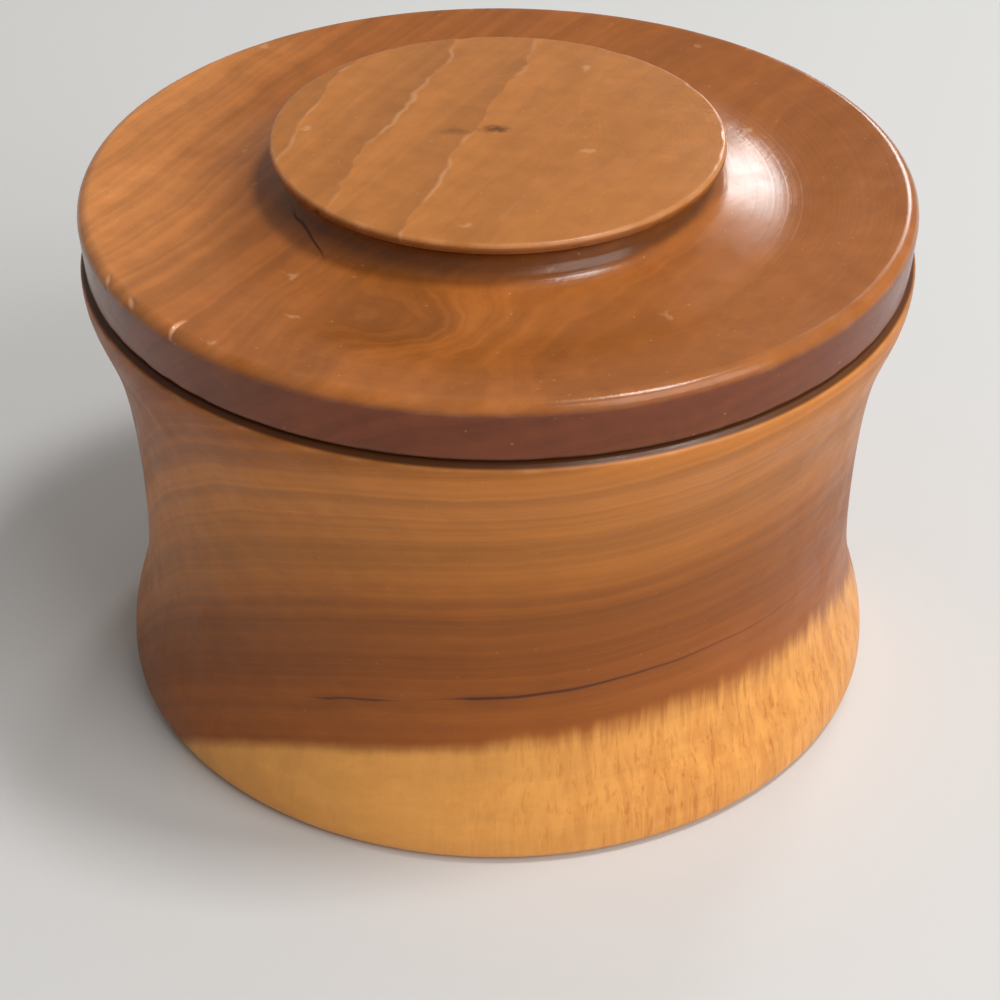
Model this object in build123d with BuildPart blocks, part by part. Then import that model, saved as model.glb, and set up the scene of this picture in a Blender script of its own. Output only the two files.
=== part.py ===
from build123d import *

import os

# A turned wooden box with a lift-off lid. +Z is up and the origin is the centre of the foot.

# Outside of the body: its radius at each height where the waisted wall turns, from the foot up.
foot_ring_radius = 55.0
belly_radius = 57.6
belly_height = 2.4
lower_wall_radius = 55.2
lower_wall_height = 14.0
waist_radius = 54.0
waist_height = 30.0
upper_wall_radius = 55.0
upper_wall_height = 47.0
rim_radius = 60.2
flare_setback = 2.8
flare_drop = 10.4
lip_setback = 0.8
lip_drop = 4.8

# Flat seat on top of the wall. A narrow shoulder slopes down from it to the rim.
seat_height = 70.2
shoulder_width = 1.3
shoulder_drop = 0.8

# Hollow for the spices, which leaves the wall thinnest at the waist, and the recess that leaves a ring to stand on.
wall_thickness = 5.5
floor_thickness = 8.0
hollow_corner_radius = 10.0
recess_radius = 44.0
recess_depth = 1.5

# Lid: a band that rests on the seat, just inside the rim, a dished ring, and a raised disc to lift it by.
band_setback = 0.1
band_taper = 0.7
band_thickness = 9.2
band_edge_round = 1.8
band_foot_round = 0.8
dish_radius = 46.0
dish_depth = 1.4
cove_radius = 34.5
cove_rise = 1.4
neck_radius = 30.2
neck_rise = 4.2
disc_radius = 32.4
disc_rise = 7.0
disc_lip = 1.4
disc_edge_round = 0.6
disc_dome = 0.4

# Spigot under the lid that drops into the mouth, with a shallow turned hollow in its end.
spigot_clearance = 0.3
spigot_length = 7.0
spigot_edge_round = 1.2
underside_radius = 40.0
underside_depth = 3.0

seat_radius = rim_radius - shoulder_width
rim_height = seat_height - shoulder_drop
lip_radius = rim_radius - lip_setback
lip_height = rim_height - lip_drop
flare_radius = rim_radius - flare_setback
flare_height = rim_height - flare_drop
mouth_radius = waist_radius - wall_thickness
spigot_radius = mouth_radius - spigot_clearance
spigot_bottom = seat_height - spigot_length
band_radius = rim_radius - band_setback
band_foot_radius = band_radius - band_taper
band_top = seat_height + band_thickness
dish_height = band_top - dish_depth
cove_height = dish_height + cove_rise
neck_height = band_top + neck_rise
disc_height = band_top + disc_rise

os.makedirs("parts", exist_ok=True)

with BuildPart() as box_body:
    with BuildSketch(Plane.XZ):
        with BuildLine():
            foot_edge = Spline(
                (foot_ring_radius, 0),
                (belly_radius, belly_height),
                tangents=((1, 0), (0, 1)),
            )
            wall = Spline(
                foot_edge @ 1,
                (lower_wall_radius, lower_wall_height),
                (waist_radius, waist_height),
                (upper_wall_radius, upper_wall_height),
                (flare_radius, flare_height),
                (lip_radius, lip_height),
                (rim_radius, rim_height),
                tangents=(foot_edge % 1, (0, 1)),
            )
            Polyline(
                wall @ 1,
                (seat_radius, seat_height),
                (mouth_radius, seat_height),
                (mouth_radius, floor_thickness),
                (0, floor_thickness),
                (0, recess_depth),
                (recess_radius, recess_depth),
                (recess_radius + recess_depth, 0),
                foot_edge @ 0,
            )
        make_face()
    revolve(axis=Axis.Z)
    hollow_floor = box_body.faces().filter_by(Plane.XY).sort_by(Axis.Z)[-2]
    fillet(hollow_floor.edges(), radius=hollow_corner_radius)

with BuildPart() as lid:
    with BuildSketch(Plane.XZ):
        with BuildLine():
            ring = Line((band_radius, band_top), (dish_radius, dish_height))
            cove = Spline(
                ring @ 1,
                (cove_radius, cove_height),
                (neck_radius, neck_height),
                tangents=(ring % 1, (0, 1)),
            )
            disc_top = ThreePointArc(
                (disc_radius, disc_height),
                (disc_radius / 2, disc_height + disc_dome * 3 / 4),
                (0, disc_height + disc_dome),
            )
            underside = ThreePointArc(
                (0, spigot_bottom + underside_depth),
                (underside_radius / 2, spigot_bottom + underside_depth * 3 / 4),
                (underside_radius, spigot_bottom),
            )
            Polyline(cove @ 1, (disc_radius, disc_height - disc_lip), disc_top @ 0)
            Line(disc_top @ 1, underside @ 0)
            Polyline(
                underside @ 1,
                (spigot_radius, spigot_bottom),
                (spigot_radius, seat_height),
                (band_foot_radius, seat_height),
                ring @ 0,
            )
        make_face()
    revolve(axis=Axis.Z)
    rims = lid.edges().filter_by(Plane.XY)
    band_foot, band_edge = rims.sort_by(SortBy.RADIUS)[-2:]
    disc_edge = rims.sort_by(Axis.Z)[-1]
    spigot_edge = rims.group_by(Axis.Z)[0].sort_by(SortBy.RADIUS)[-1]
    fillet(band_edge, radius=band_edge_round)
    fillet(band_foot, radius=band_foot_round)
    fillet(disc_edge, radius=disc_edge_round)
    fillet(spigot_edge, radius=spigot_edge_round)

box_body.part.label = "box_body"
lid.part.label = "lid"
export_step(box_body.part, "parts/box_body.step")
export_step(lid.part, "parts/lid.step")
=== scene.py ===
from math import cos, degrees, hypot, pi, radians, sin

import bpy
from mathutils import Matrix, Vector, noise


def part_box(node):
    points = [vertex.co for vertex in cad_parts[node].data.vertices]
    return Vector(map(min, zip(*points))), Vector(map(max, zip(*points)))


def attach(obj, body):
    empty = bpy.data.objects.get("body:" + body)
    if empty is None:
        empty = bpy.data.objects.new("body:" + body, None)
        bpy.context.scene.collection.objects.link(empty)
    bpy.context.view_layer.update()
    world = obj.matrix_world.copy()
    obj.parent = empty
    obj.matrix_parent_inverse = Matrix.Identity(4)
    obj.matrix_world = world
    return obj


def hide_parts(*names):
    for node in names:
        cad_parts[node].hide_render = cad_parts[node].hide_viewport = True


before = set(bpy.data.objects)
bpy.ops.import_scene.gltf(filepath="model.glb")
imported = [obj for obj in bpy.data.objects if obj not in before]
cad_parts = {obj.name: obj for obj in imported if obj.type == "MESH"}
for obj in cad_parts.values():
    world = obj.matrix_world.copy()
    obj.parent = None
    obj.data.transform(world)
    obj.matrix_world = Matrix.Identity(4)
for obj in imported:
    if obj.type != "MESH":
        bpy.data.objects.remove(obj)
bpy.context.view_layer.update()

mm = 0.001
print("loaded the frame:", sorted(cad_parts))

# Reading the turned outline of a piece from its CAD node

def seamEdges(node):
    # the mesh edges that lie in the half-plane behind +X, as pairs of (radius, height)
    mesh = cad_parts[node].data
    spot = {}
    for vertex in mesh.vertices:
        x, y, z = vertex.co
        if abs(y) < 1e-6 and x > -1e-6:
            spot[vertex.index] = (round(max(x, 0.0), 6), round(z, 6))
    edges = set()
    for edge in mesh.edges:
        a, b = edge.vertices
        if a in spot and b in spot and spot[a] != spot[b]:
            edges.add(frozenset((spot[a], spot[b])))
    return edges


def turnedOutline(node, start):
    # walks the seam from the point nearest start, and steps over the flat faces, which have no seam of their own
    edges = seamEdges(node)
    loose = {point for edge in edges for point in edge}
    here = min(loose, key=lambda point: hypot(point[0] - start[0], point[1] - start[1]))
    path = [here]
    loose.discard(here)
    while loose:
        joined = [point for edge in edges if here in edge for point in edge if point in loose]
        level = [point for point in loose if abs(point[1] - here[1]) < 1e-5]
        if joined:
            here = min(joined, key=lambda point: hypot(point[0] - here[0], point[1] - here[1]))
        elif level:
            here = min(level, key=lambda point: abs(point[0] - here[0]))
        else:
            break
        path.append(here)
        loose.discard(here)
    return path


def turnAngle(a, b, c):
    u = Vector((b[0] - a[0], b[1] - a[1]))
    v = Vector((c[0] - b[0], c[1] - b[1]))
    if u.length < 1e-9 or v.length < 1e-9:
        return 0.0
    return degrees(u.angle(v))


def smoothStretch(points, step):
    # a Catmull-Rom curve through the points, cut into steps of about the same length
    ends = [points[0]] + points + [points[-1]]
    stretch = [points[0]]
    for a, b, c, d in zip(ends, ends[1:], ends[2:], ends[3:]):
        count = max(1, round(hypot(c[0] - b[0], c[1] - b[1]) / step))
        for k in range(1, count + 1):
            t = k / count
            stretch.append(tuple(
                0.5 * (2 * b[i] + (c[i] - a[i]) * t + (2 * a[i] - 5 * b[i] + 4 * c[i] - d[i]) * t * t
                       + (3 * b[i] - a[i] - 3 * c[i] + d[i]) * t ** 3)
                for i in (0, 1)))
    return stretch


def fineOutline(points, step, cornerRound, sharpTurn=24):
    # splits the outline at its sharp corners, smooths each stretch, and eases each corner as sanding does
    corners = [k for k in range(1, len(points) - 1)
               if turnAngle(points[k - 1], points[k], points[k + 1]) > sharpTurn]
    cuts = [0] + corners + [len(points) - 1]
    stretches = [smoothStretch(points[a:b + 1], step) for a, b in zip(cuts, cuts[1:])]
    fine = list(stretches[0])
    for stretch in stretches[1:]:
        corner = stretch[0]
        while len(fine) > 1 and hypot(fine[-1][0] - corner[0], fine[-1][1] - corner[1]) < cornerRound:
            fine.pop()
        rest = [p for p in stretch if hypot(p[0] - corner[0], p[1] - corner[1]) >= cornerRound]
        before = Vector(fine[-1]) - Vector(corner)
        after = Vector(rest[0]) - Vector(corner)
        a = Vector(corner) + before.normalized() * cornerRound
        c = Vector(corner) + after.normalized() * cornerRound
        for k in range(5):
            t = k / 4
            fine.append(tuple(a * (1 - t) ** 2 + Vector(corner) * 2 * t * (1 - t) + c * t * t))
        fine.extend(rest)
    return fine


# Turning a mesh from an outline, with marks cut into it

def angleStops(count, marks):
    # evenly spaced angles, with finer ones across each mark, and none so close that the faces between are slivers
    fullTurn = 2 * pi
    leastStep = 2e-4
    stops = {round(fullTurn * k / count, 6) for k in range(count)}
    for mark in marks:
        half = radians(mark["span"]) * 0.75
        fineCount = mark["stops"]
        for k in range(fineCount + 1):
            angle = radians(mark["angle"]) - half + 2 * half * k / fineCount
            stops.add(round(angle % fullTurn, 6))
    ordered = sorted(stops)
    return [a for a, b in zip(ordered, ordered[1:] + [2 * fullTurn]) if b - a > leastStep]


def easedFall(distance):
    return max(0.0, 1.0 - distance * distance) ** 2


def acrossMark(mark, radius, height):
    # how far a spot lies from the middle of the mark, measured along the outline
    return radius - mark["radius"] if mark["on"] == "top" else height - mark["height"]


def markDepth(mark, radius, angle, height):
    # how deep one mark cuts at a spot on the surface, and how much bare wood shows there
    away = (angle - radians(mark["angle"]) + pi) % (2 * pi) - pi
    along = away * radius
    across = acrossMark(mark, radius, height)
    lean = radians(mark["lean"])
    u = (along * cos(lean) + across * sin(lean)) / mark["length"]
    v = (across * cos(lean) - along * sin(lean)) / mark["width"]
    rough = 0.35 * noise.noise(Vector((along, across, mark["angle"])) * 900)
    share = easedFall(min(1.0, hypot(u, v) * (1 + rough)))
    return mark["depth"] * share, share


def outlineBends(outline):
    # the direction that faces outward at each point of the outline, and how sharply the outline turns there
    leastSpan = 1e-6
    last = len(outline) - 1
    spans = [(max(k - 1, 0), min(k + 1, last)) for k in range(last + 1)]
    normals, bends = [], []
    for a, b in spans:
        along = Vector((outline[b][0] - outline[a][0], outline[b][1] - outline[a][1])).normalized()
        normals.append((along[1], -along[0]))
    for a, b in spans:
        span = hypot(outline[a][0] - outline[b][0], outline[a][1] - outline[b][1])
        turn = normals[a][0] * normals[b][1] - normals[a][1] * normals[b][0]
        bends.append(turn / max(span, leastSpan))
    return normals, bends


def turnPiece(name, outline, settings):
    marks = settings["marks"]
    angles = angleStops(settings["segments"], marks)
    count = len(angles)
    seed = settings["seed"]
    onAxis = 1e-6
    normals, bends = outlineBends(outline)
    vertices, wornAndHighlit, bare, rows = [], [], [], []
    for k, (radius, height) in enumerate(outline):
        if radius < onAxis:
            rows.append([len(vertices)])
            vertices.append((0.0, 0.0, height))
            wornAndHighlit.append(0.0)
            bare.append(0.0)
            continue
        ridge = min(1.0, max(0.0, bends[k]) * settings["edgeReach"])
        row = []
        for angle in angles:
            depth, bareWood = 0.0, 0.0
            for mark in marks:
                reach = 1.5 * max(mark["length"], mark["width"])
                if mark["low"] < height < mark["high"] and abs(acrossMark(mark, radius, height)) < reach:
                    cut, share = markDepth(mark, radius, angle, height)
                    depth += cut
                    bareWood = max(bareWood, share * mark["bare"])
            # the slow swell of wood that has moved since it was turned, and nibbles along its edges
            swell = noise.noise(Vector((cos(angle) * 1.6, sin(angle) * 1.6, height * 40 + seed)))
            depth += settings["unevenness"] * (0.5 + 0.5 * swell)
            nibble = noise.noise(Vector((cos(angle), sin(angle), height * 20)) * 14 + Vector((seed, 0, 0)))
            depth += settings["edgeNibble"] * ridge * max(0.0, nibble)
            nr, nz = normals[k]
            r = max(radius - nr * depth, onAxis)
            row.append(len(vertices))
            vertices.append((r * cos(angle), r * sin(angle), height - nz * depth))
            # how far the edge is rubbed; it later lightens the edge, partly as wear and partly as a painted highlight
            wornAndHighlit.append(ridge * (0.6 + 0.4 * nibble))
            bare.append(bareWood)
        rows.append(row)
    faces = []
    for low, high in zip(rows, rows[1:]):
        for k in range(count):
            n = (k + 1) % count
            if len(low) == 1:
                faces.append((low[0], high[n], high[k]))
            elif len(high) == 1:
                faces.append((low[k], low[n], high[0]))
            else:
                faces.append((low[k], low[n], high[n], high[k]))
    mesh = bpy.data.meshes.new(name)
    mesh.from_pydata(vertices, [], faces)
    for label, values in (("edgeWearAndHighlight", wornAndHighlit), ("bareWood", bare)):
        mesh.attributes.new(label, "FLOAT", "POINT").data.foreach_set("value", values)
    mesh.shade_smooth()
    piece = bpy.data.objects.new(name, mesh)
    bpy.context.scene.collection.objects.link(piece)
    print("turned", name, len(vertices), "points")
    return piece


# Shader helpers

def newGroup(name, inputs, outputs):
    group = bpy.data.node_groups.new(name, "ShaderNodeTree")
    for label, kind, value in inputs:
        socket = group.interface.new_socket(label, in_out="INPUT", socket_type=kind)
        if value is not None:
            socket.default_value = value
    for label, kind in outputs:
        group.interface.new_socket(label, in_out="OUTPUT", socket_type=kind)
    return group, group.nodes.new("NodeGroupInput"), group.nodes.new("NodeGroupOutput")


def setInputs(tree, node, inputs):
    for label, value in inputs.items():
        if isinstance(value, bpy.types.NodeSocket):
            tree.links.new(value, node.inputs[label])
        else:
            node.inputs[label].default_value = value


def addNode(tree, kind, inputs=None, **settings):
    node = tree.nodes.new("ShaderNode" + kind)
    for label, value in settings.items():
        setattr(node, label, value)
    setInputs(tree, node, inputs or {})
    return node


def useGroup(tree, group, inputs):
    node = tree.nodes.new("ShaderNodeGroup")
    node.node_tree = group
    setInputs(tree, node, inputs)
    return node.outputs


def sums(tree, operation, a, b=0.0):
    return addNode(tree, "Math", {0: a, 1: b}, operation=operation).outputs[0]


def vectorSums(tree, operation, a, b=None, scale=None):
    inputs = {0: a}
    if b is not None:
        inputs[1] = b
    if scale is not None:
        inputs["Scale"] = scale
    node = addNode(tree, "VectorMath", inputs, operation=operation)
    return node.outputs["Value" if operation in ("DOT_PRODUCT", "LENGTH") else "Vector"]


def softNoise(tree, vector, scale, detail=3.0, roughness=0.5, distortion=0.0):
    return addNode(tree, "TexNoise", {"Vector": vector, "Scale": scale, "Detail": detail, "Roughness": roughness,
                                      "Distortion": distortion}).outputs["Fac"]


def spread(tree, value, low, high, toLow=0.0, toHigh=1.0, smooth=True):
    return addNode(tree, "MapRange", {"Value": value, "From Min": low, "From Max": high, "To Min": toLow,
                                      "To Max": toHigh},
                   interpolation_type="SMOOTHSTEP" if smooth else "LINEAR").outputs["Result"]


def evenTone(tree, value, low, high, tones):
    # a straight change from one tone to the other
    return spread(tree, value, low, high, *tones, smooth=False)


def blendColour(tree, share, a, b, kind="MIX"):
    return addNode(tree, "Mix", {0: share, 6: a, 7: b}, data_type="RGBA", blend_type=kind).outputs[2]


def paintOver(tree, colour, paint, mask, strength=1.0):
    # lays one plain colour over another where the mask says so
    if strength != 1.0:
        mask = sums(tree, "MULTIPLY", mask, strength)
    return blendColour(tree, mask, colour, (*paint, 1))


def shadeBy(tree, share, colour, tone):
    # multiplies a colour by one tone in all its channels
    grey = addNode(tree, "CombineColor", {0: tone, 1: tone, 2: tone}).outputs[0]
    return blendColour(tree, share, colour, grey, "MULTIPLY")


def jitter(tree, vector, scale, size, detail=2.0):
    # noise centred on nought that strays about half its size either way
    return sums(tree, "MULTIPLY", sums(tree, "SUBTRACT", softNoise(tree, vector, scale, detail), 0.5), size)


def fromAxis(tree, position):
    # the distance from the axis that the piece was turned about
    return vectorSums(tree, "LENGTH", vectorSums(tree, "MULTIPLY", position, (1, 1, 0)))


def colourRamp(tree, value, stops, interpolation="EASE"):
    node = addNode(tree, "ValToRGB", {"Fac": value})
    ramp = node.color_ramp
    ramp.interpolation = interpolation
    while len(ramp.elements) < len(stops):
        ramp.elements.new(0.5)
    for element, (place, colour) in zip(ramp.elements, stops):
        element.position = place
        element.color = (*colour, 1)
    return node.outputs["Color"]


# Node groups that both woods use. Lengths in them are in millimetres.

def makeGrainField():
    # how far a spot lies above the curved sheet that the growth rings follow
    group, ins, outs = newGroup("grainField", [
        ("Position", "NodeSocketVector", None), ("Rise", "NodeSocketFloat", 0.0),
        ("Lean", "NodeSocketVector", (0, 0, 0)), ("Across", "NodeSocketVector", (1, 0, 0)),
        ("Shift", "NodeSocketFloat", 0.0), ("Bow", "NodeSocketFloat", 0.0),
        ("Wander", "NodeSocketFloat", 1.0), ("Wander Size", "NodeSocketFloat", 0.03),
    ], [("Depth", "NodeSocketFloat"), ("Clean Depth", "NodeSocketFloat")])
    position = ins.outputs["Position"]
    height = addNode(group, "SeparateXYZ", {0: position}).outputs["Z"]
    lean = vectorSums(group, "DOT_PRODUCT", position, ins.outputs["Lean"])
    across = sums(group, "SUBTRACT", vectorSums(group, "DOT_PRODUCT", position, ins.outputs["Across"]),
                  ins.outputs["Shift"])
    bow = sums(group, "MULTIPLY", sums(group, "MULTIPLY", across, across), ins.outputs["Bow"])
    clean = sums(group, "SUBTRACT", sums(group, "SUBTRACT", sums(group, "SUBTRACT", height, ins.outputs["Rise"]),
                                         lean), bow)
    wander = softNoise(group, position, ins.outputs["Wander Size"], 2.0, 0.45)
    moved = sums(group, "MULTIPLY", sums(group, "SUBTRACT", wander, 0.5), ins.outputs["Wander"])
    group.links.new(sums(group, "ADD", clean, moved), outs.inputs["Depth"])
    group.links.new(clean, outs.inputs["Clean Depth"])
    return group


def makeGrowthRings():
    # bands of uneven width along the depth, and the thin dark line that ends each of them
    group, ins, outs = newGroup("growthRings", [
        ("Depth", "NodeSocketFloat", 0.0), ("Position", "NodeSocketVector", None),
        ("Width", "NodeSocketFloat", 4.0), ("Fray", "NodeSocketFloat", 0.4),
    ], [("Band", "NodeSocketFloat"), ("Line", "NodeSocketFloat")])
    fray = sums(group, "MULTIPLY", sums(group, "SUBTRACT", softNoise(group, ins.outputs["Position"], 0.12, 3.0, 0.55),
                                        0.5), ins.outputs["Fray"])
    depth = sums(group, "ADD", ins.outputs["Depth"], fray)
    steps = sums(group, "DIVIDE", depth, ins.outputs["Width"])
    uneven = addNode(group, "TexNoise", {"W": steps, "Scale": 0.55, "Detail": 2.5, "Roughness": 0.6},
                     noise_dimensions="1D").outputs["Fac"]
    fine = addNode(group, "TexNoise", {"W": steps, "Scale": 2.7, "Detail": 2.0, "Roughness": 0.5},
                   noise_dimensions="1D").outputs["Fac"]
    band = sums(group, "ADD", sums(group, "MULTIPLY", spread(group, uneven, 0.3, 0.7), 0.7),
                sums(group, "MULTIPLY", spread(group, fine, 0.3, 0.7), 0.3))
    line = spread(group, sums(group, "ABSOLUTE", sums(group, "SUBTRACT", fine, 0.52)), 0.0, 0.03, 1.0, 0.0)
    group.links.new(band, outs.inputs["Band"])
    group.links.new(line, outs.inputs["Line"])
    return group


def makeWoodFibre():
    # streaks stretched along the grain, and short dark pores
    group, ins, outs = newGroup("woodFibre", [
        ("Position", "NodeSocketVector", None), ("Along", "NodeSocketVector", (1, 0, 0)),
        ("Stretch", "NodeSocketFloat", 0.92),
    ], [("Streaks", "NodeSocketFloat"), ("Hair", "NodeSocketFloat"), ("Pores", "NodeSocketFloat")])
    position, along = ins.outputs["Position"], ins.outputs["Along"]
    share = vectorSums(group, "DOT_PRODUCT", position, along)
    squeezed = vectorSums(group, "SUBTRACT", position, vectorSums(
        group, "SCALE", along, scale=sums(group, "MULTIPLY", share, ins.outputs["Stretch"])))
    streaks = softNoise(group, squeezed, 0.30, 5.0, 0.6, 0.25)
    hair = softNoise(group, squeezed, 1.6, 3.0, 0.65)
    cells = addNode(group, "TexVoronoi", {"Vector": squeezed, "Scale": 1.5, "Randomness": 1.0}).outputs["Distance"]
    thin = spread(group, softNoise(group, position, 0.9, 2.0), 0.45, 0.62)
    pores = sums(group, "MULTIPLY", spread(group, cells, 0.06, 0.16, 1.0, 0.0), thin)
    group.links.new(streaks, outs.inputs["Streaks"])
    group.links.new(hair, outs.inputs["Hair"])
    group.links.new(pores, outs.inputs["Pores"])
    return group


def makeHandWearAndHighlight():
    # specks of dust and rarer ragged flecks, faint smears, and the worn edges and bare wood that the mesh carries;
    # the worn edges are lightened partly as wear and partly as a painted highlight
    group, ins, outs = newGroup("handWearAndHighlight", [
        ("Position", "NodeSocketVector", None), ("Speck Share", "NodeSocketFloat", 0.5),
        ("Fleck Share", "NodeSocketFloat", 0.0),
    ], [("Specks", "NodeSocketFloat"), ("Smears", "NodeSocketFloat"), ("Edges", "NodeSocketFloat"),
        ("Bare", "NodeSocketFloat")])
    position = ins.outputs["Position"]
    cells = addNode(group, "TexVoronoi", {"Vector": position, "Scale": 0.55, "Randomness": 1.0})
    few = spread(group, addNode(group, "SeparateColor", {0: cells.outputs["Color"]}).outputs[0], 0.72, 0.74)
    dots = spread(group, cells.outputs["Distance"], 0.05, 0.14, 1.0, 0.0)
    smears = softNoise(group, position, 0.11, 5.0, 0.62, 0.8)
    specks = sums(group, "MULTIPLY", sums(group, "MULTIPLY", dots, few), ins.outputs["Speck Share"])
    ragged = vectorSums(group, "ADD", position, vectorSums(group, "SCALE", addNode(
        group, "TexNoise", {"Vector": position, "Scale": 0.5, "Detail": 2.0}).outputs["Color"], scale=3.0))
    patches = addNode(group, "TexVoronoi", {"Vector": ragged, "Scale": 0.12, "Randomness": 1.0})
    rare = spread(group, addNode(group, "SeparateColor", {0: patches.outputs["Color"]}).outputs[0], 0.60, 0.62)
    flecks = sums(group, "MULTIPLY", spread(group, patches.outputs["Distance"], 0.05, 0.13, 1.0, 0.0), rare)
    flecks = sums(group, "MULTIPLY", flecks, ins.outputs["Fleck Share"])
    group.links.new(sums(group, "MAXIMUM", specks, flecks), outs.inputs["Specks"])
    group.links.new(spread(group, smears, 0.35, 0.68), outs.inputs["Smears"])
    edgeWearAndHighlight = addNode(group, "Attribute", attribute_name="edgeWearAndHighlight").outputs["Fac"]
    rubbedAndHighlit = sums(group, "MULTIPLY", edgeWearAndHighlight, spread(group, softNoise(group, position, 0.3, 3.0), 0.2, 0.8))
    group.links.new(rubbedAndHighlit, outs.inputs["Edges"])
    bareWood = addNode(group, "Attribute", attribute_name="bareWood").outputs["Fac"]
    group.links.new(bareWood, outs.inputs["Bare"])
    return group


def makeToolMarks():
    # the fine rings that the lathe tool and the sandpaper leave round the axis
    group, ins, outs = newGroup("toolMarks", [
        ("Position", "NodeSocketVector", None), ("Fineness", "NodeSocketFloat", 3.0),
    ], [("Height", "NodeSocketFloat")])
    position = ins.outputs["Position"]
    height = addNode(group, "SeparateXYZ", {0: position}).outputs["Z"]
    path = addNode(group, "CombineXYZ", {0: fromAxis(group, position), 1: height}).outputs[0]
    rings = softNoise(group, path, ins.outputs["Fineness"], 2.0, 0.6)
    group.links.new(rings, outs.inputs["Height"])
    return group


grainField = makeGrainField()
growthRings = makeGrowthRings()
woodFibre = makeWoodFibre()
handWearAndHighlight = makeHandWearAndHighlight()
toolMarks = makeToolMarks()


def newMaterial(name):
    material = bpy.data.materials.new(name)
    material.use_nodes = True
    tree = material.node_tree
    tree.nodes.clear()
    position = vectorSums(tree, "SCALE", addNode(tree, "TexCoord").outputs["Object"], scale=1 / mm)
    return material, tree, position


def topOutside(node, radius):
    # the highest point of a node that lies at least that far from the axis
    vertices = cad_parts[node].data.vertices
    return max(v.co.z for v in vertices if hypot(v.co.x, v.co.y) > radius - 1e-5)


def woodGrain(tree, position, settings):
    # the growth rings' depth and the fibre, placed by each wood's own values
    acrossAngle, alongAngle = radians(settings["acrossAngle"]), radians(settings["alongAngle"])
    field = useGroup(tree, grainField, {
        "Position": position, "Rise": settings["rise"], "Lean": settings["lean"],
        "Across": (cos(acrossAngle), sin(acrossAngle), 0), "Shift": settings["shift"], "Bow": settings["bow"],
        "Wander": settings["wander"], "Wander Size": settings["wanderSize"]})
    fibre = useGroup(tree, woodFibre, {
        "Position": position, "Along": (cos(alongAngle), sin(alongAngle), settings["alongRise"])})
    return field, fibre


def wornAndHighlitColour(tree, colour, fibre, wearAndHighlight, settings):
    # pores, rubbed edges lightened partly as wear and partly as a painted highlight, the bare wood in chips, and
    # specks, laid over a wood's own colour
    colour = paintOver(tree, colour, settings["darkLine"], fibre["Pores"], settings["poreShare"])
    colour = paintOver(tree, colour, settings["bareWoodAndHighlight"], wearAndHighlight["Edges"], settings["edgeShare"])
    colour = paintOver(tree, colour, settings["bareWoodAndHighlight"], wearAndHighlight["Bare"])
    return paintOver(tree, colour, settings["dust"], wearAndHighlight["Specks"])


def finishWood(tree, position, colour, roughness, fibre, settings):
    # bumps of the fibre and of the lathe's rings, laid one on another, and the shader itself
    marks = useGroup(tree, toolMarks, {"Position": position, "Fineness": settings["toolFineness"]})
    normal = None
    for value, depth in ((fibre["Hair"], 0.02), (marks["Height"], 0.03), (fibre["Streaks"], 0.04)):
        inputs = {"Height": value, "Strength": 1.0, "Distance": depth * mm}
        if normal is not None:
            inputs["Normal"] = normal
        normal = addNode(tree, "Bump", inputs).outputs["Normal"]
    shader = addNode(tree, "BsdfPrincipled", {
        "Base Color": colour, "Roughness": roughness, "Normal": normal,
        "Specular IOR Level": settings["specular"]})
    output = addNode(tree, "OutputMaterial")
    tree.links.new(shader.outputs["BSDF"], output.inputs["Surface"])


bodyWood = {
    "rimHeight": topOutside("box_body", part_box("box_body")[1].x) / mm,
    "rimRadius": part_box("box_body")[1].x / mm,
    "rise": 19.3, "lean": (0.0606, -0.0025, 0.0), "acrossAngle": 109.6, "shift": -58.4, "bow": -0.00804,
    "wander": 4.0, "wanderSize": 0.022, "alongAngle": 19.6, "alongRise": 0.06, "bandWidth": 3.4, "fray": 1.1,
    "heart": [(0.0, (0.27, 0.070, 0.008)), (0.09, (0.32, 0.088, 0.010)), (0.20, (0.28, 0.075, 0.008)),
              (0.36, (0.31, 0.090, 0.011)), (0.55, (0.46, 0.155, 0.024)), (0.72, (0.50, 0.170, 0.028)),
              (0.90, (0.36, 0.105, 0.015)), (1.0, (0.30, 0.080, 0.010))],
    "heartSpan": 62.0, "bandTones": (0.84, 1.14), "streakTones": (0.86, 1.13),
    "sap": (0.78, 0.345, 0.078), "sapDark": (0.57, 0.200, 0.036),
    "curlTowards": (0.82, -0.57, 0.0), "curlSpan": (18.0, 52.0), "curlFray": 5.0,
    "darkLine": (0.055, 0.014, 0.006), "darkLineDepth": 8.6, "darkLineWidth": 0.42, "darkLineSpan": 60.0,
    "darkLineShares": [(0.0, 0.0), (0.27, 0.05), (0.30, 0.75), (0.36, 0.75), (0.39, 0.15), (0.44, 0.35),
                       (0.47, 1.0), (0.60, 0.85), (0.69, 0.7), (0.80, 0.45), (0.90, 0.35), (1.0, 0.0)],
    "lineShade": 0.30, "lineShadeWidth": 2.2, "ringLineShare": 0.08,
    "seamShadow": (0.035, 0.010, 0.004), "seamShare": 0.85, "seamRise": (0.02, 0.3), "seamInset": (2.4, 1.3),
    "bareWoodAndHighlight": (0.72, 0.42, 0.20), "dust": (0.62, 0.50, 0.40),
    "poreShare": 0.12, "edgeShare": 0.35, "speckShare": 0.1,
    "roughness": (0.34, 0.44), "specular": 0.28, "toolFineness": 1.9,
}


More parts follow.
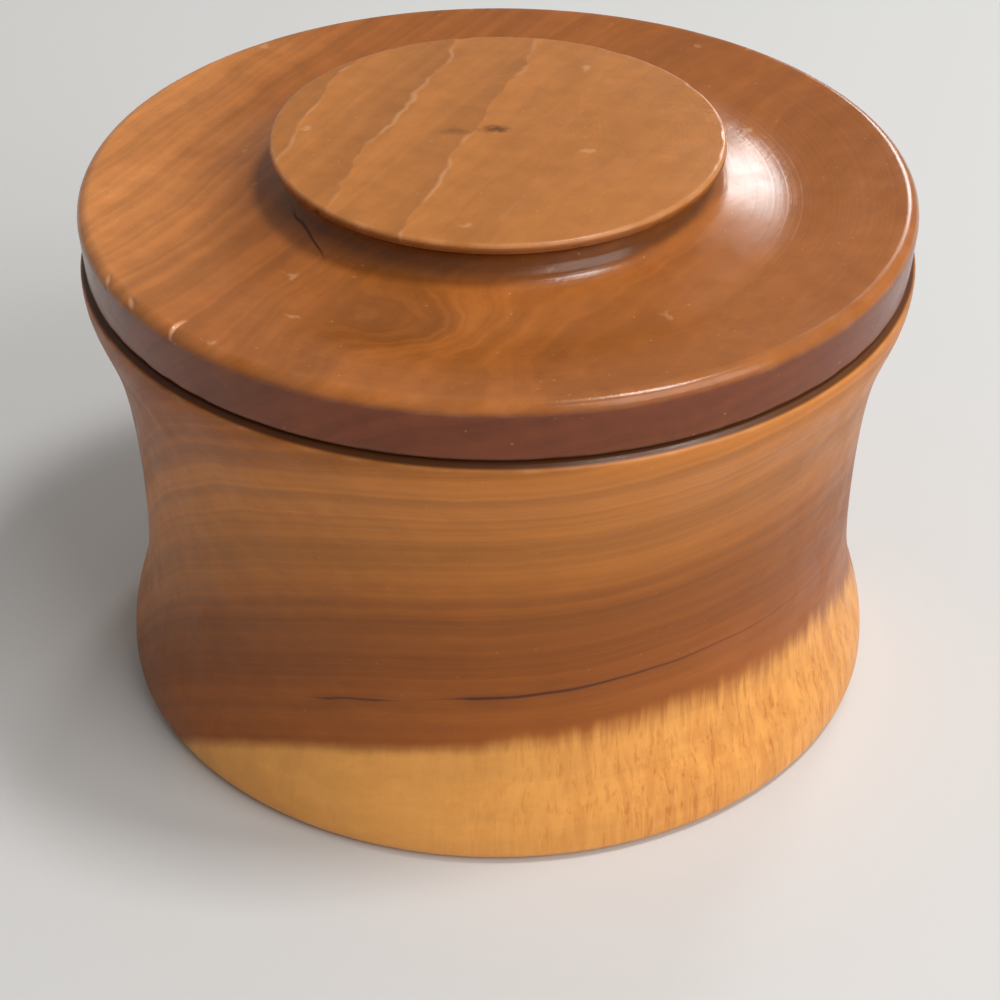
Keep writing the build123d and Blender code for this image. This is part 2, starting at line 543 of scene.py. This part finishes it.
def makeBodyWood(settings):
    material, tree, position = newMaterial("waxedBodyWood")
    field, fibre = woodGrain(tree, position, settings)
    rings = useGroup(tree, growthRings, {"Depth": field["Depth"], "Position": position,
                                         "Width": settings["bandWidth"], "Fray": settings["fray"]})
    wearAndHighlight = useGroup(tree, handWearAndHighlight, {"Position": position, "Speck Share": settings["speckShare"]})
    side, _, height = addNode(tree, "SeparateXYZ", {0: position}).outputs
    # heartwood: broad colour by depth, then bands and streaks
    heart = colourRamp(tree, sums(tree, "DIVIDE", field["Depth"], settings["heartSpan"]), settings["heart"])
    heart = shadeBy(tree, 1.0, heart, evenTone(tree, rings["Band"], 0.15, 0.85, settings["bandTones"]))
    streakTone = evenTone(tree, fibre["Streaks"], 0.25, 0.75, settings["streakTones"])
    heart = shadeBy(tree, 0.8, heart, streakTone)
    # the fissure: a thin dark line at one depth, fainter and stronger along its way, with a soft shade about it
    lineGap = sums(tree, "ADD", field["Clean Depth"], jitter(tree, position, 0.05, 3.0))
    lineGap = sums(tree, "ABSOLUTE", sums(tree, "SUBTRACT", lineGap, settings["darkLineDepth"]))
    onSpan = spread(tree, side, -settings["darkLineSpan"], settings["darkLineSpan"], smooth=False)
    lineShare = colourRamp(tree, onSpan, [(place, (share, share, share))
                                          for place, share in settings["darkLineShares"]], "LINEAR")
    lineShare = addNode(tree, "SeparateColor", {0: lineShare}).outputs[0]
    lineWidth = sums(tree, "MULTIPLY", lineShare, settings["darkLineWidth"])
    lineCore = sums(tree, "MULTIPLY", lineWidth, 0.3)
    darkLine = sums(tree, "MULTIPLY", spread(tree, lineGap, lineCore, lineWidth, 1.0, 0.0), lineShare)
    underLine = spread(tree, lineGap, 0.0, settings["lineShadeWidth"], settings["lineShade"], 0.0)
    underLine = sums(tree, "MULTIPLY", underLine, lineShare)
    heart = paintOver(tree, heart, settings["darkLine"], darkLine, 0.85)
    heart = paintOver(tree, heart, settings["darkLine"], underLine)
    heart = paintOver(tree, heart, settings["darkLine"], rings["Line"], settings["ringLineShare"])
    # sapwood: curly figure that runs across the grain, strongest to one side
    broadFigure = addNode(tree, "Mapping", {"Vector": position, "Scale": (0.55, 0.55, 0.04)}).outputs[0]
    fineFigure = addNode(tree, "Mapping", {"Vector": position, "Scale": (1.4, 1.4, 0.10)}).outputs[0]
    curl = softNoise(tree, broadFigure, 1.0, 3.0, 0.6, 0.5)
    fineCurl = softNoise(tree, fineFigure, 1.0, 2.0, 0.6, 0.8)
    towards = vectorSums(tree, "DOT_PRODUCT", position, settings["curlTowards"])
    curly = spread(tree, towards, *settings["curlSpan"], 0.10, 1.0)
    darkCurl = sums(tree, "ADD", sums(tree, "MULTIPLY", spread(tree, curl, 0.35, 0.68), 0.55),
                    sums(tree, "MULTIPLY", spread(tree, fineCurl, 0.52, 0.7), 0.6))
    darkCurl = sums(tree, "MULTIPLY", darkCurl, curly)
    sap = blendColour(tree, darkCurl, (*settings["sap"], 1), (*settings["sapDark"], 1))
    sap = shadeBy(tree, 0.7, sap, streakTone)
    # the two woods meet at depth nought, softer and more ragged where the figure is curly
    ragged = sums(tree, "MULTIPLY", sums(tree, "SUBTRACT", curl, 0.5), settings["curlFray"])
    ragged = sums(tree, "MULTIPLY", ragged, curly)
    boundary = sums(tree, "ADD", sums(tree, "ADD", field["Clean Depth"], ragged), jitter(tree, position, 0.12, 2.0))
    softness = spread(tree, curly, 0.1, 1.0, 1.4, 2.6)
    inHeart = spread(tree, boundary, sums(tree, "MULTIPLY", softness, -1.0), softness)
    colour = wornAndHighlitColour(tree, blendColour(tree, inHeart, sap, heart), fibre, wearAndHighlight, settings)
    # painted shade in the seam under the lid: only on the sloped shoulder, so that the seat is not darkened when the
    # lid is off
    rim, (low, high), (inner, outer) = settings["rimHeight"], settings["seamRise"], settings["seamInset"]
    seam = sums(tree, "MULTIPLY", spread(tree, height, rim + low, rim + high), spread(
        tree, fromAxis(tree, position), settings["rimRadius"] - inner, settings["rimRadius"] - outer))
    colour = paintOver(tree, colour, settings["seamShadow"], seam, settings["seamShare"])
    roughness = spread(tree, wearAndHighlight["Smears"], 0.0, 1.0, *settings["roughness"])
    finishWood(tree, position, colour, roughness, fibre, settings)
    return material


lidWood = {
    "seatHeight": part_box("box_body")[1].z / mm, "bandRadius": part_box("lid")[1].x / mm,
    "discTop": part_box("lid")[1].z / mm, "bandTop": topOutside("lid", 0.9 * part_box("lid")[1].x) / mm,
    "rise": 40.0, "lean": (0.9, -0.52, 0.0), "acrossAngle": -30.0, "shift": -30.0, "bow": -0.006,
    "wander": 14.0, "wanderSize": 0.018, "alongAngle": 60.0, "alongRise": 0.05, "bandWidth": 4.2, "fray": 1.6,
    "bandTones": (0.84, 1.10), "streakTones": (0.88, 1.12), "mottleTones": (0.90, 1.08),
    "discColour": (0.46, 0.165, 0.036), "discSetback": (1.8, 0.6),
    "ringColour": (0.37, 0.114, 0.022),
    "bandShadeColour": (0.19, 0.045, 0.013), "bandInset": (6.0, 4.0), "bandDrop": (0.9, 2.0),
    "paleRing": (0.58, 0.215, 0.058), "paleTowards": (-0.98, 0.19, 0.0), "paleSpan": (30.0, 58.0),
    "darkTone": (0.22, 0.060, 0.010), "darkTowards": (0.45, 0.89, 0.0), "darkSpan": (15.0, 55.0),
    "darkShare": 0.33, "neckShadeTone": 0.52, "neckRise": (0.4, 2.6),
    "swirl": (-11.0, -38.5, 77.8), "swirlStretch": (0.8, 1.3, 1.0), "swirlSize": 14.0, "swirlLift": 8.0,
    "figureAcross": (0.956, -0.292, 0.0), "figureShift": 3.4, "figureWidth": 12.0, "figureTones": (1.06, 0.84),
    "paleLineShare": 0.3, "darkLine": (0.06, 0.014, 0.004), "ringLineShare": 0.05,
    "spots": [dict(place=(-0.3, 0.4, 0.0), size=2.3, share=0.8), dict(place=(-6.2, -0.2, 0.0), size=2.6, share=0.35)],
    "crackAcross": (0.902, 0.432, 0.0), "crackAlong": (0.432, -0.902, 0.0), "crackShift": 31.3,
    "crackStart": -1.5, "crackEnd": 12.5, "crackWidth": (0.05, 0.26),
    "seamShadow": (0.035, 0.010, 0.004), "seamShare": 0.85, "seamRise": (0.3, 1.0), "seamInset": (3.0, 1.6),
    "bareWoodAndHighlight": (0.80, 0.44, 0.25), "dust": (0.74, 0.42, 0.22),
    "poreShare": 0.10, "edgeShare": 0.38, "speckShare": 0.25, "fleckShare": 0.30,
    "roughness": (0.20, 0.27), "discRoughness": 0.05, "specular": 0.32, "toolFineness": 1.7,
}


def makeLidWood(settings):
    material, tree, position = newMaterial("waxedLidWood")
    field, fibre = woodGrain(tree, position, settings)
    swirlOffset = vectorSums(tree, "SUBTRACT", position, settings["swirl"])
    swirlOffset = vectorSums(tree, "MULTIPLY", swirlOffset, settings["swirlStretch"])
    swirlAway = sums(tree, "ADD", vectorSums(tree, "LENGTH", swirlOffset), jitter(tree, position, 0.09, 9.0, 3.0))
    swirlLift = spread(tree, swirlAway, settings["swirlSize"], 0.0, 0.0, settings["swirlLift"])
    rings = useGroup(tree, growthRings, {"Depth": sums(tree, "ADD", field["Depth"], swirlLift),
                                         "Position": position, "Width": settings["bandWidth"],
                                         "Fray": settings["fray"]})
    wearAndHighlight = useGroup(tree, handWearAndHighlight, {"Position": position, "Speck Share": settings["speckShare"],
                                     "Fleck Share": settings["fleckShare"]})
    # where each part of the lid lies
    height = addNode(tree, "SeparateXYZ", {0: position}).outputs["Z"]
    radius = fromAxis(tree, position)
    discTop, bandTop, bandRadius = settings["discTop"], settings["bandTop"], settings["bandRadius"]
    low, high = settings["discSetback"]
    onDisc = spread(tree, height, discTop - low, discTop - high)
    offDisc = sums(tree, "SUBTRACT", 1.0, onDisc)
    (inner, outer), (upper, lower) = settings["bandInset"], settings["bandDrop"]
    onBand = sums(tree, "MULTIPLY", spread(tree, radius, bandRadius - inner, bandRadius - outer),
                  spread(tree, height, bandTop - upper, bandTop - lower))
    low, high = settings["neckRise"]
    onNeck = sums(tree, "MULTIPLY", spread(tree, height, bandTop + low, bandTop + high), offDisc)
    # the plain colours of ring, disc and band, with the ring paler to one side
    blotch = softNoise(tree, position, 0.035, 4.0, 0.55, 0.4)
    towards = vectorSums(tree, "DOT_PRODUCT", position, settings["paleTowards"])
    blotchShift = sums(tree, "MULTIPLY", sums(tree, "SUBTRACT", blotch, 0.5), 40.0)
    # the plain colours of ring and disc, the band darkened with painted shade, and the ring paler to one side
    paleSide = spread(tree, sums(tree, "ADD", towards, blotchShift), *settings["paleSpan"])
    tone = blendColour(tree, paleSide, (*settings["ringColour"], 1), (*settings["paleRing"], 1))
    tone = paintOver(tree, tone, settings["discColour"], onDisc)
    tone = paintOver(tree, tone, settings["bandShadeColour"], onBand)
    # growth bands, doubled in the swirl, then streaks and mottle
    bandTone = evenTone(tree, rings["Band"], 0.15, 0.85, settings["bandTones"])
    tone = shadeBy(tree, sums(tree, "SUBTRACT", 1.0, sums(tree, "MULTIPLY", onDisc, 0.6)), tone, bandTone)
    tone = shadeBy(tree, spread(tree, swirlAway, settings["swirlSize"], 4.0), tone, bandTone)
    streakTone = evenTone(tree, fibre["Streaks"], 0.25, 0.75, settings["streakTones"])
    tone = shadeBy(tree, sums(tree, "SUBTRACT", 0.7, sums(tree, "MULTIPLY", onDisc, 0.25)), tone, streakTone)
    mottle = evenTone(tree, softNoise(tree, position, 0.22, 4.0, 0.6), 0.3, 0.7, settings["mottleTones"])
    tone = shadeBy(tree, 1.0, tone, mottle)
    # darker blotches and a darker side, and painted shade on the steep neck under the disc
    towards = vectorSums(tree, "DOT_PRODUCT", position, settings["darkTowards"])
    dark = sums(tree, "MAXIMUM", spread(tree, blotch, 0.52, 0.74), spread(tree, towards, *settings["darkSpan"]))
    dark = sums(tree, "MULTIPLY", dark, offDisc)
    tone = paintOver(tree, tone, settings["darkTone"], dark, settings["darkShare"])
    tone = shadeBy(tree, onNeck, tone, settings["neckShadeTone"])
    # the disc: wide soft bands that end in a pale line, and a small knot with a smudge by it
    towards = vectorSums(tree, "DOT_PRODUCT", position, settings["figureAcross"])
    figure = sums(tree, "ADD", towards, sums(tree, "ADD", jitter(tree, position, 0.07, 7.0, 3.0),
                                             settings["figureShift"]))
    figure = sums(tree, "FRACT", sums(tree, "DIVIDE", figure, settings["figureWidth"]))
    figureFade = sums(tree, "MULTIPLY", spread(tree, towards, -2.0, 12.0, 1.0, 0.0), onDisc)
    tone = shadeBy(tree, figureFade, tone, evenTone(tree, figure, 0.0, 1.0, settings["figureTones"]))
    paleLine = spread(tree, sums(tree, "ABSOLUTE", sums(tree, "SUBTRACT", figure, 0.5)), 0.455, 0.495)
    broken = spread(tree, softNoise(tree, position, 0.12, 2.0), 0.42, 0.6)
    paleLine = sums(tree, "MULTIPLY", sums(tree, "MULTIPLY", paleLine, figureFade), broken)
    tone = paintOver(tree, tone, settings["dust"], paleLine, settings["paleLineShare"])
    for spot in settings["spots"]:
        offset = vectorSums(tree, "SUBTRACT", position, spot["place"])
        offset = vectorSums(tree, "MULTIPLY", offset, (0.75, 1.5, 0.0))
        away = sums(tree, "ADD", vectorSums(tree, "LENGTH", offset), jitter(tree, position, 0.9, 2.4))
        mask = sums(tree, "MULTIPLY", spread(tree, away, 0.1, spot["size"], 1.0, 0.0), onDisc)
        tone = paintOver(tree, tone, settings["darkLine"], mask, spot["share"])
    tone = paintOver(tree, tone, settings["darkLine"], rings["Line"], settings["ringLineShare"])
    colour = wornAndHighlitColour(tree, tone, fibre, wearAndHighlight, settings)
    # a thin crack that runs out from under the disc
    crackAlong = vectorSums(tree, "DOT_PRODUCT", position, settings["crackAlong"])
    crackGap = sums(tree, "ADD", vectorSums(tree, "DOT_PRODUCT", position, settings["crackAcross"]),
                    settings["crackShift"])
    crackGap = sums(tree, "ABSOLUTE", sums(tree, "ADD", crackGap, jitter(tree, position, 0.12, 1.6)))
    start, end = settings["crackStart"], settings["crackEnd"]
    crackEnds = sums(tree, "MULTIPLY", spread(tree, crackAlong, start, start + 2.0),
                     spread(tree, crackAlong, end, end - 4.0))
    crack = sums(tree, "MULTIPLY", spread(tree, crackGap, *settings["crackWidth"], 1.0, 0.0), crackEnds)
    crack = sums(tree, "MULTIPLY", crack, offDisc)
    colour = paintOver(tree, colour, settings["darkLine"], crack, 0.9)
    # painted shade in the seam: only at the foot of the band, so that the spigot is not darkened when the lid is off
    seat, (low, high), (inner, outer) = settings["seatHeight"], settings["seamRise"], settings["seamInset"]
    seam = sums(tree, "MULTIPLY", spread(tree, height, seat + low, seat + high, settings["seamShare"], 0.0),
                spread(tree, radius, bandRadius - inner, bandRadius - outer))
    colour = paintOver(tree, colour, settings["seamShadow"], seam)
    roughness = sums(tree, "ADD", spread(tree, wearAndHighlight["Smears"], 0.0, 1.0, *settings["roughness"]),
                     sums(tree, "MULTIPLY", onDisc, settings["discRoughness"]))
    finishWood(tree, position, colour, roughness, fibre, settings)
    return material


# The body

bodyLook = {
    "outlineStart": (42.0 * mm, 1.5 * mm), "step": 0.9 * mm, "cornerRound": 0.35 * mm, "segments": 420,
    "seed": 3.0, "unevenness": 0.05 * mm, "edgeReach": 0.6 * mm, "edgeNibble": 0.10 * mm,
    "marks": [  # two faint dents
        dict(on="side", angle=-118, height=16 * mm, low=2 * mm, high=30 * mm, span=4, stops=16,
             length=1.2 * mm, width=0.5 * mm, depth=0.12 * mm, bare=0.0, lean=10),
        dict(on="side", angle=-40, height=52 * mm, low=40 * mm, high=60 * mm, span=4, stops=16,
             length=1.0 * mm, width=0.6 * mm, depth=0.10 * mm, bare=0.0, lean=-20),
    ],
}
bodyWalk = turnedOutline("box_body", bodyLook["outlineStart"])
bodyWalk = [(0.0, bodyWalk[0][1])] + bodyWalk + [(0.0, bodyWalk[-1][1])]
turnedBody = turnPiece("turnedBody", fineOutline(bodyWalk, bodyLook["step"], bodyLook["cornerRound"]), bodyLook)
turnedBody.data.materials.append(makeBodyWood(bodyWood))
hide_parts("box_body")
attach(turnedBody, "box_body")
print("body dressed")

# The lid

lidLook = {
    "outlineStart": (0.0, 66.2 * mm), "step": 0.7 * mm, "cornerRound": 0.3 * mm, "segments": 420,
    "seed": 11.0, "unevenness": 0.05 * mm, "edgeReach": 0.6 * mm, "edgeNibble": 0.12 * mm,
    "marks": [  # three chips on the top edge of the band
        dict(on="top", angle=-135.8, radius=58.3 * mm, low=77.5 * mm, high=80 * mm, span=5, stops=60,
             length=2.2 * mm, width=0.55 * mm, depth=0.35 * mm, bare=1.0, lean=78),
        dict(on="top", angle=-144.8, radius=59.3 * mm, low=77.5 * mm, high=80 * mm, span=4, stops=36,
             length=1.5 * mm, width=0.5 * mm, depth=0.22 * mm, bare=0.6, lean=20),
        dict(on="top", angle=-151.8, radius=59.4 * mm, low=77.5 * mm, high=80 * mm, span=4, stops=36,
             length=1.1 * mm, width=0.6 * mm, depth=0.28 * mm, bare=0.7, lean=40),
    ],
}
lidWalk = turnedOutline("lid", lidLook["outlineStart"])
turnedLid = turnPiece("turnedLid", fineOutline(lidWalk, lidLook["step"], lidLook["cornerRound"]), lidLook)
turnedLid.data.materials.append(makeLidWood(lidWood))
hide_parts("lid")
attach(turnedLid, "lid")
print("lid dressed")

# Floor, lights and camera

studio = {
    "floorColour": (0.66, 0.66, 0.65), "floorSize": 4.0, "floorRoughness": 0.7, "aimHeight": 50 * mm,
    "skyColour": (1.0, 0.97, 0.93), "skyStrength": 0.29,
    "lamps": {
        "keyLight": dict(angle=-8, rise=69, away=1.1, size=0.22, power=5.8),
        "sideLight": dict(angle=68, rise=22, away=1.3, size=0.30, power=3.3),
        "fillLight": dict(angle=-42, rise=32, away=1.5, size=1.10, power=15.0),
    },
}


def makeFloor(settings):
    half = settings["floorSize"] / 2
    mesh = bpy.data.meshes.new("floor")
    mesh.from_pydata([(-half, -half, 0), (half, -half, 0), (half, half, 0), (-half, half, 0)], [], [(0, 1, 2, 3)])
    floor = bpy.data.objects.new("floor", mesh)
    bpy.context.scene.collection.objects.link(floor)
    material = bpy.data.materials.new("plainFloor")
    material.use_nodes = True
    shader = material.node_tree.nodes["Principled BSDF"]
    shader.inputs["Base Color"].default_value = (*settings["floorColour"], 1)
    shader.inputs["Roughness"].default_value = settings["floorRoughness"]
    mesh.materials.append(material)


def addSoftLight(name, lamp, aimHeight):
    # a square lamp that faces the middle of the box, from a compass angle and a rise above the floor
    light = bpy.data.lights.new(name, "AREA")
    light.shape = "SQUARE"
    light.size = lamp["size"]
    light.energy = lamp["power"]
    holder = bpy.data.objects.new(name, light)
    bpy.context.scene.collection.objects.link(holder)
    angle, rise = radians(lamp["angle"]), radians(lamp["rise"])
    target = Vector((0, 0, aimHeight))
    holder.location = target + Vector((cos(angle) * cos(rise), sin(angle) * cos(rise), sin(rise))) * lamp["away"]
    holder.rotation_euler = (target - holder.location).to_track_quat("-Z", "Y").to_euler()


makeFloor(studio)
for lampName, lamp in studio["lamps"].items():
    addSoftLight(lampName, lamp, studio["aimHeight"])
world = bpy.data.worlds.new("studio")
world.use_nodes = True
background = world.node_tree.nodes["Background"]
background.inputs["Color"].default_value = (*studio["skyColour"], 1)
background.inputs["Strength"].default_value = studio["skyStrength"]
bpy.context.scene.world = world
bpy.context.scene.view_settings.view_transform = "Standard"

photoView = {"away": 324.3 * mm, "height": 250.3 * mm, "dip": 35.08, "lens": 91.5, "sensor": 36.0,
             "shift": (0.002, 0.002), "nearest": 0.01}
cameraData = bpy.data.cameras.new("photoCamera")
cameraData.lens = photoView["lens"]
cameraData.sensor_width = photoView["sensor"]
cameraData.sensor_height = photoView["sensor"]
cameraData.clip_start = photoView["nearest"]
cameraData.shift_x, cameraData.shift_y = photoView["shift"]
camera = bpy.data.objects.new("photoCamera", cameraData)
camera.location = (0, -photoView["away"], photoView["height"])
camera.rotation_euler = (radians(90 - photoView["dip"]), 0, 0)
bpy.context.scene.collection.objects.link(camera)
bpy.context.scene.camera = camera
print("stage set")
